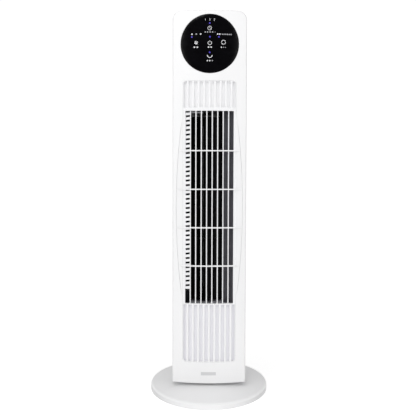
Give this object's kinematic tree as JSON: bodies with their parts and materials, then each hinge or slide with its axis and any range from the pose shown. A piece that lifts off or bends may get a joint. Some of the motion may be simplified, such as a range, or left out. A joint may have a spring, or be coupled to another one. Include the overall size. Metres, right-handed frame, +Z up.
{
  "type": "tower fan",
  "caption": "Slim oscillating tower fan with a cross-flow wheel behind a slatted front outlet, a round touch panel and a round weighted base.",
  "frame": {"origin": "centre of the round base on the surface that the fan stands on", "axes": "+Z up along the axis that the tower swings about, front of the fan towards -Y"},
  "size_m": [0.24, 0.24, 0.758],
  "materials": {
    "white_shell": "white gloss ABS",
    "grille_white": "white ABS, satin",
    "base_white": "white gloss ABS",
    "lens_black": "black, high gloss",
    "white_inner": "white, matte",
    "duct_grey": "mid grey, matte",
    "dark_inner": "dark grey, matte",
    "grey_inner": "light grey, matte",
    "wheel_black": "black, satin",
    "steel": "zinc plated",
    "weight_steel": "painted",
    "spring_steel": "bright wire",
    "bronze": "sintered",
    "rubber_black": "matte",
    "rubber_grey": "matte",
    "motor_metal": "satin",
    "board_green": "solder mask",
    "led_blue": "clear blue",
    "nylon": "natural nylon",
    "ribbon_grey": "matte",
    "cap_grey": "matte"
  },
  "bodies": {
    "base": {"base_cover": "base_white", "base_bottom": "white_inner", "base_weight": "weight_steel", "rubber_feet": "rubber_grey", "base_screws": "steel", "swing_gear": "nylon", "swing_race": "nylon", "cord_gland": "rubber_grey"},
    "tower": {"turntable": "dark_inner", "swing_retainer": "dark_inner", "turntable_screws": "steel", "tower_floor": "white_inner", "front_cover": "white_shell", "front_grille": "grille_white", "rear_housing": "white_shell", "handle_cup": "white_shell", "housing_screws": "steel", "panel_lens": "lens_black", "panel_holder": "white_inner", "panel_screws": "steel", "control_board": "board_green", "touch_springs": "spring_steel", "indicator_leds": "led_blue", "panel_cable": "ribbon_grey", "duct_wall": "duct_grey", "duct_lip": "dark_inner", "outlet_shelf": "white_inner", "duct_floor": "grey_inner", "duct_ceiling": "dark_inner", "upper_bearing": "bronze", "bearing_mount": "rubber_black", "fan_motor": "motor_metal", "motor_mount": "steel", "motor_screws": "steel", "swing_motor": "motor_metal", "power_board": "board_green", "run_capacitor": "cap_grey"},
    "rotor": {"impeller": "wheel_black", "drive_shaft": "steel", "stub_shaft": "steel"},
    "pinion": {"swing_pinion": "nylon"}
  },
  "joints": [
    {"name": "swing", "type": "hinge", "parent": "base", "child": "tower", "pos_m": [0, 0, 0], "axis": [0, 0, 1], "range_deg": [-35, 35]},
    {"name": "fan_spin", "type": "hinge", "parent": "tower", "child": "rotor", "pos_m": [-0.006, 0.002, 0.3], "axis": [0, 0, 1], "continuous": true},
    {"name": "pinion_spin", "type": "hinge", "parent": "tower", "child": "pinion", "pos_m": [0.02415, 0, 0.02], "axis": [0, 0, 1], "range_deg": [-72, 72]}
  ],
  "couplings": [
    {"joint": "pinion_spin", "follows": "swing", "ratio": 2}
  ]
}
